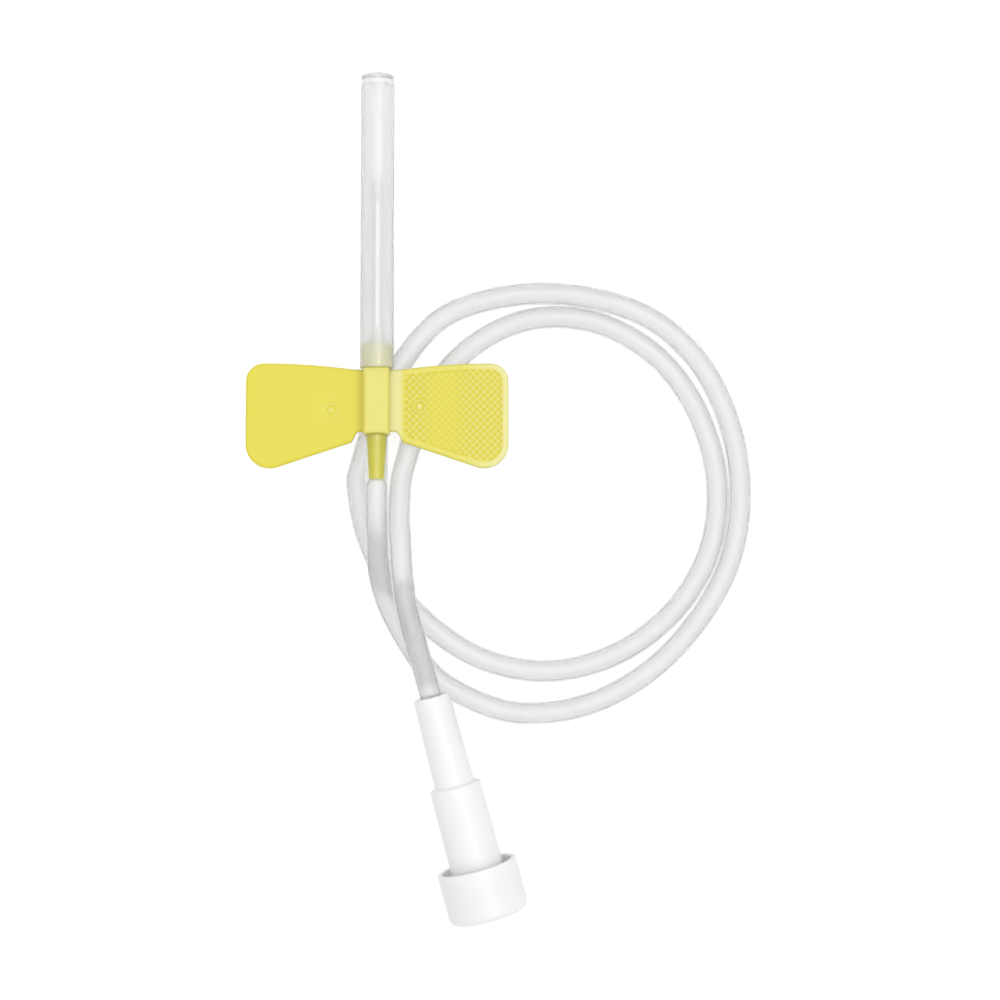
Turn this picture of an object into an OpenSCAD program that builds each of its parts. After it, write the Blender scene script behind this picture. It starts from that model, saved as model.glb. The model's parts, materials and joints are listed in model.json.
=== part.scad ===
// Winged infusion set: a steel needle in a yellow hub with two folding wings,
// a soft clear tube that lies in two turns, and a capped luer connector.
// Millimetres. +Y runs towards the needle's point, +Z is up from the table at z = 0.
// The needle end rests on the tube and on the tip of its sheath, so it is tilted.

/* [Needle] */
// Outer diameter of the steel needle, 20 gauge
needle_od = 0.9; // [0.5:0.05:1.1]
// Wall of the needle
needle_wall = 0.15; // [0.05:0.05:0.2]
// Length of needle that stands out of the hub
needle_exposed = 19; // [12:1:25]
// Length of needle glued inside the hub
needle_seat = 7.5; // [4:0.5:9]
// Angle of the ground bevel at the point
bevel_angle = 17; // [12:1:30]
// Length of the glue cone on the needle
bond_l = 1.8; // [0.8:0.1:3]
// Diameter of the glue cone where it meets the hub
bond_d = 1.6; // [1.3:0.1:2.2]
// Thickness of the glue at the cone's tip
bond_tip_t = 0.04; // [0.02:0.01:0.1]
// Thickness towards which the cone's flank is drawn in
bond_waist_t = 0.12; // [0.08:0.01:0.2]
// Gap that the glue fills between the needle and its bore
glue_gap = 0.02; // [0.01:0.01:0.05]

/* [Sheath] */
// Length of the sheath over the needle
sheath_l = 33; // [30:0.2:45]
// Wall of the sheath
sheath_wall = 0.5; // [0.3:0.05:0.7]
// Thickness of the sheath's closed end
sheath_end = 1.0; // [0.6:0.1:2]
// Rounding of the closed end's edge
sheath_edge = 0.3; // [0.2:0.1:0.8]
// Running gap between the hub's nose and the sheath
sheath_gap = 0.05; // [0.03:0.01:0.1]
// Gap between the sheath's mouth and the block's front face
mouth_gap = 0.05; // [0.03:0.01:0.1]

/* [Hub] */
// Width of the hub's block
block_w = 2.9; // [2.7:0.1:4]
// Length of the block along the needle
block_l = 7.4; // [6:0.2:10]
// Height of the block
block_h = 2.9; // [2.7:0.1:4]
// Rounding of the block's long top edges
block_edge = 0.35; // [0.1:0.05:0.6]
// Diameter of the nose that holds the sheath
nose_d = 2.65; // [2.4:0.05:2.7]
// Length of the nose
nose_l = 2.8; // [2:0.1:4]
// Chamfer at the front of the nose
nose_chamfer = 0.25; // [0.1:0.05:0.4]
// Diameter of the tapered spigot beside the block
spigot_root_d = 1.5; // [1.4:0.05:1.5]
// Diameter of the spigot at its tip
spigot_tip_d = 1; // [0.9:0.05:1.1]
// Length of the spigot inside the tube
spigot_l = 5; // [3:0.5:8]
// Diameter of the flow passage through the hub
flow_d = 0.6; // [0.4:0.05:0.65]

/* [Wings] */
// Reach from the needle's line to a wing's tip
wing_reach = 14.65; // [12:0.05:18]
// Thickness of a wing
wing_t = 0.8; // [0.6:0.05:1.2]
// How far the wing's tip reaches ahead of the block's middle
wing_front = 4.4; // [3.8:0.05:5]
// How far the wing's tip reaches behind the block's middle
wing_rear = 7.35; // [6.5:0.05:8]
// Radius of the front corner of the tip
front_corner = 2.0; // [1:0.1:3]
// Radius of the rear corner of the tip
rear_corner = 2.7; // [1.5:0.1:3]
// Angle by which the rear edge sweeps back
rear_sweep = 18.5; // [14:0.5:20]
// Gap at the groove where a wing folds
fold_gap = 0.25; // [0.15:0.05:0.4]
// Width of the thin root strip beside the groove
root_w = 0.9; // [0.5:0.1:1.4]
// Thickness of the root strip
root_t = 0.5; // [0.3:0.05:0.6]
// How far the root strip ends short of the block at the rear
root_inset = 0.4; // [0:0.05:0.6]
// Width of the smooth rim round the gripping field
rim_w = 0.75; // [0.5:0.05:1]
// Depth of the gripping field below the rim
field_depth = 0.15; // [0.05:0.05:0.25]
// Distance of the moulded mark from the needle's line
mark_x = 4.75; // [4.2:0.05:6]
// Diameter of the moulded mark
mark_d = 1.35; // [1:0.05:2]
// Height of the raised mark, and depth of the sunk one
mark_rise = 0.2; // [0.1:0.05:0.3]
// Diameter of the raised mark's flat top
mark_top_d = 0.95; // [0.7:0.05:1.2]

/* [Tube] */
// Outer diameter of the tube
tube_od = 2.5; // [2.5:0.05:2.6]
// Wall of the tube
tube_wall = 0.5; // [0.4:0.05:0.7]
// Gap between the tube's top and the hub that lies on it
stack_gap = 0.05; // [0.03:0.01:0.1]

/* [Connector] */
// Place of the connector's tube end along X
connector_x = 6.05; // [6:0.05:6.1]
// Place of the connector's tube end along Y
connector_y = -46.75; // [-46.8:0.05:-46.7]
// Turn of the connector away from the needle's line
connector_turn = 15; // [14:0.5:16]
// Whole length of the connector
connector_l = 24; // [22:0.5:28]
// Depth of the socket that holds the tube
socket_l = 6; // [4:0.5:8]
// Gap between the tube and its socket
socket_gap = 0.02; // [0.01:0.01:0.05]
// Diameter of the slim barrel at the tube end
slim_start_d = 4.1; // [3.6:0.05:4.2]
// Diameter of the slim barrel at the step
slim_end_d = 4.5; // [4.2:0.05:4.6]
// Length of the slim barrel
slim_l = 10.2; // [8:0.2:12]
// Diameter of the wide barrel at the step
wide_start_d = 5.75; // [5.5:0.05:5.9]
// Diameter of the wide barrel at the mouth
wide_end_d = 5.95; // [5.8:0.05:6.2]
// Chamfer of the connector's outer edges
barrel_chamfer = 0.2; // [0.1:0.05:0.3]
// Diameter of the 6 percent luer socket at its mouth
luer_mouth_d = 4.28; // [4.27:0.005:4.31]
// Depth of the luer socket
luer_depth = 8; // [7.5:0.5:10]
// Diameter across the two locking lugs
lug_d = 7.7; // [7.3:0.05:7.8]
// Thickness of a lug along the axis
lug_t = 1.2; // [0.8:0.1:1.6]
// Width of a lug
lug_w = 2.6; // [2:0.1:3.2]

/* [Cap] */
// Outer diameter of the cap
cap_od = 9; // [8.9:0.1:9]
// Wall of the cap's collar
cap_wall = 0.55; // [0.4:0.05:0.55]
// Whole length of the cap's collar
cap_l = 5.8; // [5:0.1:7]
// Thickness of the cap's closed end
cap_end = 1.1; // [0.6:0.1:1.5]
// Rounding of the cap's closed end
cap_edge = 0.9; // [0.4:0.1:1.2]
// Rounding of the collar's open rim
rim_round = 0.15; // [0.05:0.05:0.2]
// Length of the plug cone inside the cap
plug_l = 6.5; // [5:0.5:7]
// Gap between the plug cone and the luer socket
plug_gap = 0.03; // [0.02:0.01:0.05]
// Gap between the connector's mouth and the cap's end wall
cap_gap = 0.1; // [0.05:0.05:0.3]

/* [Hidden] */
round_fn = 64;
// A luer cone narrows by 6 percent of its length, so its radius by 3 percent
luer_taper = 0.03;
// What is cut away runs past the face that it opens by this much
past = 0.1;
// Steps of a drawn curve
arc_steps = 10;

needle_r = needle_od / 2;
needle_bore_r = needle_r - needle_wall;
needle_hole_r = needle_r + glue_gap;
nose_y = block_l / 2 + nose_l;
needle_tip_y = nose_y + needle_exposed;
needle_heel_y = nose_y - needle_seat;
// The cone is drawn in most at this share of its length
bond_waist = 0.45;
sheath_inner_r = nose_d / 2 + sheath_gap;
sheath_r = sheath_inner_r + sheath_wall;
sheath_mouth_y = block_l / 2 + mouth_gap;
sheath_tip_y = sheath_mouth_y + sheath_l;
spigot_tip_y = -block_l / 2 - spigot_l;

// Wing plan: the fold runs along x = fold_x, and the plate starts at plate_x
fold_x = block_w / 2 + fold_gap;
plate_x = fold_x + root_w;
root_front = block_l / 2;
root_rear = root_inset - block_l / 2;
wing_bottom = -block_h / 2;
wing_top = wing_bottom + wing_t;
front_corner_x = wing_reach - front_corner;
rear_centre = [wing_reach - rear_corner, rear_corner - wing_rear];
// The rear edge steps back over the strip's width, this share of it in from the fold and from the plate
step_share = 0.4;
step_start_x = fold_x + root_w * step_share;
step_end_x = plate_x + root_w * step_share;
// The gripping field starts this share of a rim's width in from the plate's root
field_share = 0.6;
field_x = plate_x + rim_w * field_share;
mark_y = -0.5;

tube_r = tube_od / 2;
tube_bore_r = tube_r - tube_wall;

// The block's front bottom edge lies on the tube and the sheath's tip on the table.
// Height of a point (y, z) of the needle end: axis_z + z cos(tilt) - y sin(tilt)
edge_height = tube_od + stack_gap;
lean_rise = -block_h / 2 + (sheath_r - sheath_edge);
lean_run = sheath_tip_y - sheath_edge - block_l / 2;
tilt = asin((edge_height - sheath_edge) / norm([lean_rise, lean_run])) - atan2(lean_rise, lean_run);
axis_z = edge_height + block_h / 2 * cos(tilt) + block_l / 2 * sin(tilt);
// The origin is under the middle of the needle end
needle_end_front =
    sheath_edge + (sheath_tip_y - sheath_edge) * cos(tilt) + (sheath_r - sheath_edge) * sin(tilt);
needle_end_rear = -spigot_tip_y * cos(tilt) + spigot_tip_d / 2 * sin(tilt);
block_y = (needle_end_rear - needle_end_front) / 2;

cap_inner_r = cap_od / 2 - cap_wall;
// The cap's end wall starts here along the connector's axis, measured from the tube end
cap_floor = connector_l + cap_gap;
cap_rim = cap_floor + cap_end - cap_l;
// The connector lies level, at the height at which its cap rests on the table
connector_z = cap_od / 2;

// A point on the needle's line in the part's frame
function on_needle(y) = [0, block_y + y * cos(tilt), axis_z - y * sin(tilt)];
// A point on the connector's line in the part's frame
function on_connector(s) =
    [connector_x + s * sin(connector_turn), connector_y - s * cos(connector_turn), connector_z];

// The tube's free route: down off the spigot, two turns on the table, up into the connector
free_route = [
    [0, -25.2, 4.9], [0, -27.4, 4.75], [0.05, -29.7, 4.4], [0.15, -32, 4.05], [0.55, -34.3, 3.75],
    [1.25, -36.6, 3.3], [2.3, -38.9, 2.65], [3.6, -41.3, 1.8], [5.2, -43.6, 1.35],
    [8.4, -46.3, 1.25], [15, -48.8, 1.25], [22.7, -48.2, 1.25], [29.8, -44.7, 1.25], [35.4, -39.2, 1.25],
    [39.4, -32.2, 1.25], [40.7, -24.5, 1.25], [39.6, -16.7, 1.25], [36.1, -9.5, 1.25], [30.3, -4.4, 1.25],
    [22.7, -2.05, 1.25], [14.8, -2, 1.25], [7.3, -4.4, 1.25], [2.2, -10.1, 1.25], [-1.8, -17, 1.25],
    [-2.2, -24.7, 1.25], [0.1, -32.2, 1.25], [5, -38.4, 1.25], [11.6, -42.8, 1.25], [19.3, -44.2, 1.25],
    [26.9, -42.2, 1.25], [33.2, -37.45, 1.25], [37.2, -30.75, 1.25], [38.1, -23, 1.25], [36, -15.3, 1.25],
    [31.4, -8.9, 1.25], [24.5, -5, 1.25], [16.8, -4.7, 1.25], [9.9, -8.2, 1.25], [5.1, -14.4, 1.25],
    [2.9, -20.9, 1.5], [2.4, -26, 2.65], [2.65, -31, 4], [2.9, -34, 4.75],
    [3.4, -37.1, 5.1], [4.3, -40.6, 4.95], [5.3, -44, 4.6]
];
tube_route = concat(
    [on_needle(-block_l / 2), on_needle(-block_l / 2 - spigot_l / 2), on_needle(spigot_tip_y)],
    free_route,
    [on_connector(0), on_connector(socket_l / 2), on_connector(socket_l)]
);
tube_sides = 8;
// A span of the route longer than this gets a ring half way
long_span = 6;

// Points of an arc about c, from angle a to angle b
function arc(c, r, a, b) =
    [for (i = [0:arc_steps]) c + r * [cos(a + (b - a) * i / arc_steps), sin(a + (b - a) * i / arc_steps)]];
// Points of a quadratic curve from a to c, pulled towards b
function bend(a, b, c) =
    [for (i = [0:arc_steps]) let (t = i / arc_steps) (1 - t) * (1 - t) * a + 2 * t * (1 - t) * b + t * t * c];

// Smooth curve through b and c, with a before and d after, at t from 0 to 1
function smooth(a, b, c, d, t) =
    0.5 * (2 * b + (c - a) * t + (2 * a - 5 * b + 4 * c - d) * t * t + (3 * b - a - 3 * c + d) * t * t * t);
function clip_at(list, i) = list[max(0, min(len(list) - 1, i))];
function curve_at(list, i, t) =
    smooth(
        i == 0 ? 2 * list[0] - list[1] : list[i - 1],
        list[i],
        list[i + 1],
        i + 2 > len(list) - 1 ? 2 * list[i + 1] - list[i] : list[i + 2],
        t
    );
// Stations of the sweep along the whole route
function stations(list) = concat(
    [for (i = [0:len(list) - 2])
        let (cuts = norm(list[i + 1] - list[i]) > long_span ? 2 : 1)
        for (j = [0:cuts - 1]) curve_at(list, i, j / cuts)],
    [list[len(list) - 1]]
);
function unit(v) = v / norm(v);
// Ring of radius r round station i, square to the path, with one corner straight down
function ring_at(path, i, r) =
    let (
        along = unit(clip_at(path, i + 1) - clip_at(path, i - 1)),
        side = unit(cross([0, 0, 1], along)),
        up = cross(along, side)
    )
    [for (k = [0:tube_sides - 1])
        path[i] + r * (cos(360 * k / tube_sides) * up + sin(360 * k / tube_sides) * side)];

// Front edge of a wing at x: it runs forward from the root and is level at the corner
function front_edge_y(x) =
    let (left = (front_corner_x - x) / (front_corner_x - plate_x))
    wing_front - (wing_front - root_front) * left * left;
// Rear edge of a wing at x, drawn in by inset
function rear_edge_y(x, inset) =
    let (
        angle = -90 - rear_sweep,
        touch = rear_centre + (rear_corner - inset) * [cos(angle), sin(angle)]
    )
    touch[1] + (touch[0] - x) * tan(rear_sweep);
// Outer part of a wing's outline on the +X side, from start to the tip and back, drawn in by inset
function wing_tip(start, inset) = concat(
    [for (i = [0:arc_steps - 1])
        let (x = start + (front_corner_x - start) * i / arc_steps)
        [x, front_edge_y(x) - inset]],
    arc([front_corner_x, wing_front - front_corner], front_corner - inset, 90, 0),
    arc(rear_centre, rear_corner - inset, 0, -90 - rear_sweep)
);

// Carries what is drawn along the needle's line to its resting place
module needle_end() {
    translate([0, block_y, axis_z]) rotate([-tilt, 0, 0]) children();
}

// Turns a shape made along +Z to point along the needle, starting at y
module along_needle(y) {
    translate([0, y, 0]) rotate([-90, 0, 0]) children();
}

// Carries a shape made along +Z to the connector's line, starting at s
module along_connector(s) {
    translate(on_connector(s)) rotate([90, 0, connector_turn]) children();
}

// Clear polyethylene sheath, open at the hub and closed at the tip
module needle_sheath() {
    color([0.90, 0.92, 0.93, 0.5])
    needle_end()
    along_needle(sheath_mouth_y)
    rotate_extrude($fn = round_fn)
    polygon(concat(
        [[sheath_inner_r, 0], [sheath_r, 0]],
        arc([sheath_r - sheath_edge, sheath_l - sheath_edge], sheath_edge, 0, 90),
        [[0, sheath_l], [0, sheath_l - sheath_end], [sheath_inner_r, sheath_l - sheath_end]]
    ));
}

// Steel needle with a through bore and a ground bevel that faces up
module needle() {
    color([0.78, 0.79, 0.80])
    needle_end()
    difference() {
        along_needle(needle_heel_y)
        cylinder(r = needle_r, h = needle_tip_y - needle_heel_y, $fn = round_fn);
        along_needle(needle_heel_y - past)
        cylinder(r = needle_bore_r, h = needle_tip_y - needle_heel_y + 2 * past, $fn = round_fn);
        translate([-needle_od, needle_tip_y, -needle_r])
        rotate([-bevel_angle, 0, 0])
        translate([0, -needle_exposed / 2, 0])
        cube([2 * needle_od, needle_exposed, needle_exposed / 2]);
    }
}

// Cone of white glue where the needle enters the hub
module needle_bond() {
    color([0.95, 0.95, 0.93])
    needle_end()
    along_needle(nose_y)
    rotate_extrude($fn = round_fn)
    polygon(concat(
        [[needle_hole_r, 0]],
        bend(
            [bond_d / 2, 0],
            [needle_r + bond_waist_t, bond_l * bond_waist],
            [needle_hole_r + bond_tip_t, bond_l]
        ),
        [[needle_hole_r, bond_l]]
    ));
}

// Section of the hub's block, flat below and rounded along its top edges
module block_section() {
    half = block_w / 2;
    top = block_h / 2;
    polygon(concat(
        [[-half, -top], [half, -top]],
        arc([half - block_edge, top - block_edge], block_edge, 0, 90),
        arc([block_edge - half, top - block_edge], block_edge, 90, 180)
    ));
}

// Yellow hub: nose for the sheath, block between the wings, spigot for the tube
module hub() {
    color([0.93, 0.89, 0.40])
    needle_end()
    difference() {
        union() {
            translate([0, block_l / 2, 0]) rotate([90, 0, 0]) linear_extrude(block_l) block_section();
            along_needle(block_l / 2 - past)
            rotate_extrude($fn = round_fn)
            polygon([
                [0, 0], [nose_d / 2, 0], [nose_d / 2, nose_l + past - nose_chamfer],
                [nose_d / 2 - nose_chamfer, nose_l + past], [0, nose_l + past]
            ]);
            along_needle(spigot_tip_y)
            cylinder(r1 = spigot_tip_d / 2, r2 = spigot_root_d / 2, h = spigot_l + past, $fn = round_fn);
        }
        along_needle(needle_heel_y) cylinder(r = needle_hole_r, h = needle_seat + past, $fn = round_fn);
        along_needle(spigot_tip_y - past)
        cylinder(r = flow_d / 2, h = needle_heel_y - spigot_tip_y + 2 * past, $fn = round_fn);
    }
}

// Plate of a wing on the +X side, with its thin root strip beside the fold
module wing_plate() {
    difference() {
        translate([0, 0, wing_bottom])
        linear_extrude(wing_t)
        polygon(concat(
            [[fold_x, root_rear], [fold_x, root_front]],
            wing_tip(plate_x, 0),
            [[step_end_x, rear_edge_y(step_end_x, 0)], [step_start_x, root_rear]]
        ));
        translate([fold_x - past, -block_l, wing_bottom - past])
        cube([root_w + past, 2 * block_l, wing_t - root_t + past]);
    }
}

// Left wing: smooth, with a round mark sunk in it
module left_wing() {
    color([0.91, 0.87, 0.33])
    needle_end()
    difference() {
        mirror([1, 0, 0]) wing_plate();
        translate([-mark_x, mark_y, wing_top - mark_rise]) cylinder(d = mark_d, h = wing_t, $fn = round_fn);
    }
}

// Right wing: a sunk gripping field inside a smooth rim, with a raised round mark
module right_wing() {
    color([0.91, 0.87, 0.33])
    needle_end()
    union() {
        difference() {
            wing_plate();
            translate([0, 0, wing_top - field_depth])
            linear_extrude(wing_t)
            polygon(concat([[field_x, rear_edge_y(field_x, rim_w)]], wing_tip(field_x, rim_w)));
        }
        translate([mark_x, mark_y, wing_top - field_depth - past])
        cylinder(d1 = mark_d, d2 = mark_top_d, h = mark_rise + past, $fn = round_fn);
    }
}

// Soft clear tube, pushed over the spigot at one end and glued into the connector at the other
module infusion_tube() {
    path = stations(tube_route);
    last = len(path) - 1;
    rings = concat(
        [for (i = [0:last]) ring_at(path, i, tube_r)],
        [for (i = [0:last]) ring_at(path, last - i, tube_bore_r)]
    );
    count = len(rings);
    color([0.90, 0.91, 0.91, 0.7])
    polyhedron(
        points = [for (r = rings) each r],
        faces = [
            for (i = [0:count - 1])
            for (k = [0:tube_sides - 1])
            let (
                here = i * tube_sides,
                next = ((i + 1) % count) * tube_sides,
                k2 = (k + 1) % tube_sides
            )
            each [
                [here + k, next + k2, next + k],
                [here + k, here + k2, next + k2]
            ]
        ]
    );
}

// White luer connector: tube socket, stepped barrel, luer socket and two locking lugs
module luer_connector() {
    luer_end_r = luer_mouth_d / 2 - luer_taper * luer_depth;
    color([0.95, 0.95, 0.95])
    along_connector(0)
    union() {
        rotate_extrude($fn = round_fn)
        polygon([
            [tube_r + socket_gap, 0],
            [slim_start_d / 2 - barrel_chamfer, 0],
            [slim_start_d / 2, barrel_chamfer],
            [slim_end_d / 2, slim_l],
            [wide_start_d / 2 - barrel_chamfer, slim_l],
            [wide_start_d / 2, slim_l + barrel_chamfer],
            [wide_end_d / 2, connector_l],
            [luer_mouth_d / 2, connector_l],
            [luer_end_r, connector_l - luer_depth],
            [tube_bore_r, connector_l - luer_depth],
            [tube_bore_r, socket_l],
            [tube_r + socket_gap, socket_l]
        ]);
        translate([0, 0, connector_l - lug_t])
        difference() {
            intersection() {
                cylinder(d = lug_d, h = lug_t, $fn = round_fn);
                translate([-lug_d, -lug_w / 2, 0]) cube([2 * lug_d, lug_w, lug_t]);
            }
            translate([0, 0, -past])
            cylinder(d = wide_end_d - 2 * barrel_chamfer, h = lug_t + 2 * past, $fn = round_fn);
        }
    }
}

// White locking cap: a collar round the lugs and a cone that plugs the luer socket
module luer_cap() {
    plug_root_r = luer_mouth_d / 2 - plug_gap + luer_taper * cap_gap;
    color([0.96, 0.96, 0.96])
    along_connector(cap_rim)
    rotate_extrude($fn = round_fn)
    polygon(concat(
        [[cap_inner_r, cap_l - cap_end], [cap_inner_r, rim_round], [cap_inner_r + rim_round, 0]],
        [[cap_od / 2 - rim_round, 0], [cap_od / 2, rim_round]],
        arc([cap_od / 2 - cap_edge, cap_l - cap_edge], cap_edge, 0, 90),
        [[0, cap_l], [0, cap_l - cap_end - plug_l]],
        [[plug_root_r - luer_taper * plug_l, cap_l - cap_end - plug_l], [plug_root_r, cap_l - cap_end]]
    ));
}

needle_sheath();
needle();
needle_bond();
hub();
left_wing();
right_wing();
infusion_tube();
luer_connector();
luer_cap();
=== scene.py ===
# Looks of the winged infusion set: a sheathed needle, a yellow hub with two folding wings,
# a clear tube in two turns, and a capped luer connector.
# Lengths are in millimetres until a mesh is made, but for the table, the lamps and the camera's clip.
import json
import math
import bmesh
import bpy
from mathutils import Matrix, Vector


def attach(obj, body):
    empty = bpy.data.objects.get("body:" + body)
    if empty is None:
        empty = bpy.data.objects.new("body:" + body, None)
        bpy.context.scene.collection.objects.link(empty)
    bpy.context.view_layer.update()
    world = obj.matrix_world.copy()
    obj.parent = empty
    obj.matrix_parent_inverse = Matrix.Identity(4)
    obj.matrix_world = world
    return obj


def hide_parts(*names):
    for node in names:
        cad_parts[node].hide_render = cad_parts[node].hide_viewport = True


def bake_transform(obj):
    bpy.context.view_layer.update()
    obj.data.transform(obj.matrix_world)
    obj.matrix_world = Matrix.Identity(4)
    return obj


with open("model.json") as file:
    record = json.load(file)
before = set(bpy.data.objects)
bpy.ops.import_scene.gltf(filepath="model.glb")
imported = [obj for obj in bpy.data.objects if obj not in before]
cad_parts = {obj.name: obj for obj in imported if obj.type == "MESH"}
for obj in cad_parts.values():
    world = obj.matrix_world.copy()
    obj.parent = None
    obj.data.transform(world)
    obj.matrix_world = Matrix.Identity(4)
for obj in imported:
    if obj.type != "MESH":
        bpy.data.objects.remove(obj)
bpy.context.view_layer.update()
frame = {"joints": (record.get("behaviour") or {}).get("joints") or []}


# Table and camera
# The set lies on a white table and is seen from straight above, the needle's point towards the back.
# The lens is as long as the slight view into the cap's open rim says.
MM = 0.001
IMAGE_WIDTH = 112.5
CAMERA_HEIGHT = 238.65
TUBE_MIDDLE = 1.25
VIEW_CENTRE = (13.69, -24.945)
SENSOR_WIDTH = 36.0
NEAR_CLIP = 0.01
FAR_CLIP = 20.0


def look_down():
    camera = bpy.data.cameras.new("overhead_camera")
    camera.sensor_width = SENSOR_WIDTH
    camera.lens = SENSOR_WIDTH * (CAMERA_HEIGHT - TUBE_MIDDLE) / IMAGE_WIDTH
    camera.clip_start = NEAR_CLIP
    camera.clip_end = FAR_CLIP
    stand = bpy.data.objects.new("overhead_camera", camera)
    stand.location = (VIEW_CENTRE[0] * MM, VIEW_CENTRE[1] * MM, CAMERA_HEIGHT * MM)
    bpy.context.scene.collection.objects.link(stand)
    bpy.context.scene.camera = stand


def seen_ray(nodes, links):
    """1 for a ray that shows the background: from the camera, or off or through a glossy thing."""
    path = nodes.new("ShaderNodeLightPath")
    glossy = nodes.new("ShaderNodeMath")
    glossy.operation = "MAXIMUM"
    links.new(path.outputs["Is Camera Ray"], glossy.inputs[0])
    links.new(path.outputs["Is Glossy Ray"], glossy.inputs[1])
    clear = nodes.new("ShaderNodeMath")
    clear.operation = "MAXIMUM"
    links.new(glossy.outputs[0], clear.inputs[0])
    links.new(path.outputs["Is Transmission Ray"], clear.inputs[1])
    return clear.outputs[0]


TABLE_SIZE = 6.0
# How white the table shows by itself, and how much of its light the set's shadow can take away
TABLE_GLOW = 0.86
TABLE_SHADE = 0.24
# How white it is for the light that it throws back at the set
TABLE_WHITE = 0.86


def lay_table():
    mesh = bpy.data.meshes.new("table")
    half = TABLE_SIZE / 2
    corners = [(-half, -half, 0), (half, -half, 0), (half, half, 0), (-half, half, 0)]
    mesh.from_pydata(corners, [], [(0, 1, 2, 3)])
    table = bpy.data.objects.new("table", mesh)
    bpy.context.scene.collection.objects.link(table)
    material = bpy.data.materials.new("table_white")
    material.use_nodes = True
    nodes, links = material.node_tree.nodes, material.node_tree.links
    nodes.clear()
    output = nodes.new("ShaderNodeOutputMaterial")
    plain = nodes.new("ShaderNodeBsdfDiffuse")
    plain.inputs["Color"].default_value = (TABLE_WHITE, TABLE_WHITE, TABLE_WHITE, 1)
    glow = nodes.new("ShaderNodeEmission")
    glow.inputs["Strength"].default_value = TABLE_GLOW
    shade = nodes.new("ShaderNodeBsdfDiffuse")
    shade.inputs["Color"].default_value = (TABLE_SHADE, TABLE_SHADE, TABLE_SHADE, 1)
    shown = nodes.new("ShaderNodeAddShader")
    links.new(glow.outputs[0], shown.inputs[0])
    links.new(shade.outputs[0], shown.inputs[1])
    mix = nodes.new("ShaderNodeMixShader")
    links.new(seen_ray(nodes, links), mix.inputs[0])
    links.new(plain.outputs[0], mix.inputs[1])
    links.new(shown.outputs[0], mix.inputs[2])
    links.new(mix.outputs[0], output.inputs["Surface"])
    mesh.materials.append(material)


ROOM_LIGHT = 0.88
ROOM_SEEN = 1.0


def light_room():
    world = bpy.data.worlds.new("white_room")
    bpy.context.scene.world = world
    world.use_nodes = True
    nodes, links = world.node_tree.nodes, world.node_tree.links
    nodes.clear()
    output = nodes.new("ShaderNodeOutputWorld")
    soft = nodes.new("ShaderNodeBackground")
    soft.inputs["Strength"].default_value = ROOM_LIGHT
    seen = nodes.new("ShaderNodeBackground")
    seen.inputs["Strength"].default_value = ROOM_SEEN
    mix = nodes.new("ShaderNodeMixShader")
    links.new(seen_ray(nodes, links), mix.inputs[0])
    links.new(soft.outputs[0], mix.inputs[1])
    links.new(seen.outputs[0], mix.inputs[2])
    links.new(mix.outputs[0], output.inputs["Surface"])


def hang_lamp(name, place, size, power):
    """A soft rectangular lamp that faces the set, with place in metres."""
    lamp = bpy.data.lights.new(name, "AREA")
    lamp.shape = "RECTANGLE"
    lamp.size = size[0]
    lamp.size_y = size[1]
    lamp.energy = power
    stand = bpy.data.objects.new(name, lamp)
    stand.location = place
    aim = Vector((VIEW_CENTRE[0] * MM, VIEW_CENTRE[1] * MM, 0)) - Vector(place)
    stand.rotation_euler = aim.to_track_quat("-Z", "Y").to_euler()
    bpy.context.scene.collection.objects.link(stand)


# Each lamp's place and size in metres, and its power in watts. The strip is long in the needle's direction.
STRIP_PLACE = (0.27, 0.0, 0.62)
STRIP_SIZE = (0.9, 0.12)
STRIP_POWER = 0.8
WIDE_PLACE = (0.03, 0.10, 0.75)
WIDE_SIZE = (0.6, 0.6)
WIDE_POWER = 1.7

look_down()
lay_table()
light_room()
hang_lamp("strip_lamp", STRIP_PLACE, STRIP_SIZE, STRIP_POWER)
hang_lamp("wide_lamp", WIDE_PLACE, WIDE_SIZE, WIDE_POWER)
bpy.context.scene.view_settings.view_transform = "Standard"


# Infusion tube
# A soft clear vinyl tube, extruded and cut to 300 mm. It is pushed over the hub's spigot at one end,
# lies in two turns on the table, and is glued into the luer connector at the other.
TUBE_OD = 2.5
TUBE_BORE = 1.5
BLOCK_W = 2.9
BLOCK_L = 7.4
BLOCK_H = 2.9
WING_T = 0.8
SPIGOT_L = 5.0
SPIGOT_ROOT_D = 1.5
# The part's spigot tapers to 1.0. It is a little wider here, which gives the width seen through the tube.
SPIGOT_TIP_D = 1.15
CONNECTOR_START = Vector((6.05, -46.75, 4.5))
SOCKET_L = 6.0

joints = {joint["name"]: joint for joint in frame["joints"]}
needle_line = Vector(joints["sheath_pull"]["axis"]).normalized()
needle_up = Vector((1, 0, 0)).cross(needle_line)
connector_line = Vector(joints["cap_pull"]["axis"]).normalized()
connector_side = Vector((0, 0, 1)).cross(connector_line)
fold_middle = (Vector(joints["left_fold"]["pos_m"]) + Vector(joints["right_fold"]["pos_m"])) / (2 * MM)
# The fold lies at the wings' top, and the block's middle is this much above it
block_middle = fold_middle + needle_up * (BLOCK_H / 2 - WING_T)


def at_needle(x, y, z):
    """A point of the needle end, y along the needle from the block's middle, in the row frame."""
    return block_middle + Vector((x, 0, 0)) + needle_line * y + needle_up * z


def at_connector(x, z, s):
    """A point s along the connector from its tube end, x to its side and z up, in the row frame."""
    return CONNECTOR_START + connector_side * x + Vector((0, 0, z)) + connector_line * s


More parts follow.
